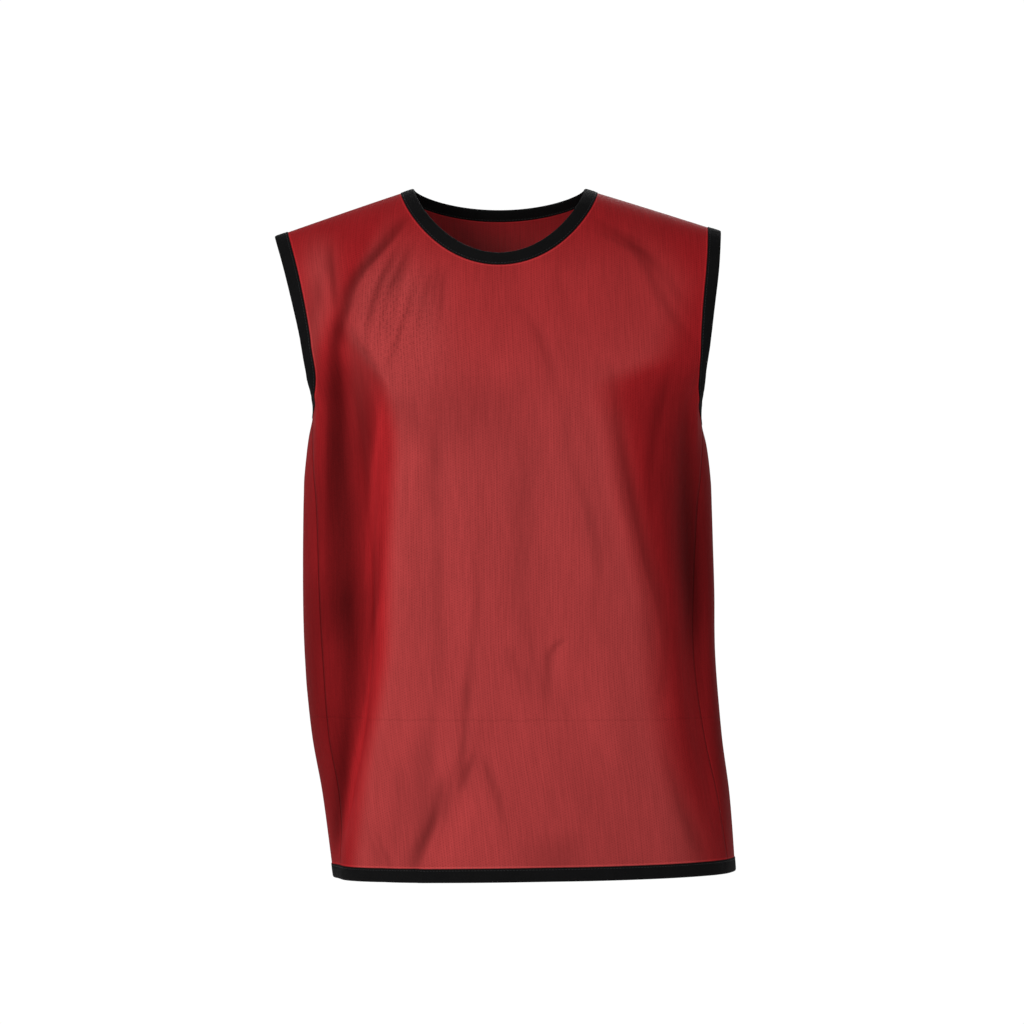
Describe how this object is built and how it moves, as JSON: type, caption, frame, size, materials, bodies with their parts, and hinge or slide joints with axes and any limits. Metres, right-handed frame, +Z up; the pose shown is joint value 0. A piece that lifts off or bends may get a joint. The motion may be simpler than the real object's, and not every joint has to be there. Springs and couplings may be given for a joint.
{
  "type": "training bib",
  "caption": "Sleeveless pullover bib in sheer mesh with taped round neck, armholes and hem, in its worn, hanging form.",
  "frame": {"origin": "middle of the neck opening, level with the two points where the shoulder seams meet it", "axes": "+Z up, the wearer faces -Y, +X to the right of someone facing the front"},
  "size_m": [0.4675, 0.2485, 0.6972],
  "materials": {
    "mesh": "semi-sheer warp-knit polyester mesh, soft sheen",
    "tape": "matt black knitted tape"
  },
  "bodies": {
    "root": {"front_panel": "mesh", "back_panel": "mesh", "neck_binding": "tape", "armhole_binding_left": "tape", "armhole_binding_right": "tape", "hem_binding": "tape"}
  },
  "joints": []
}
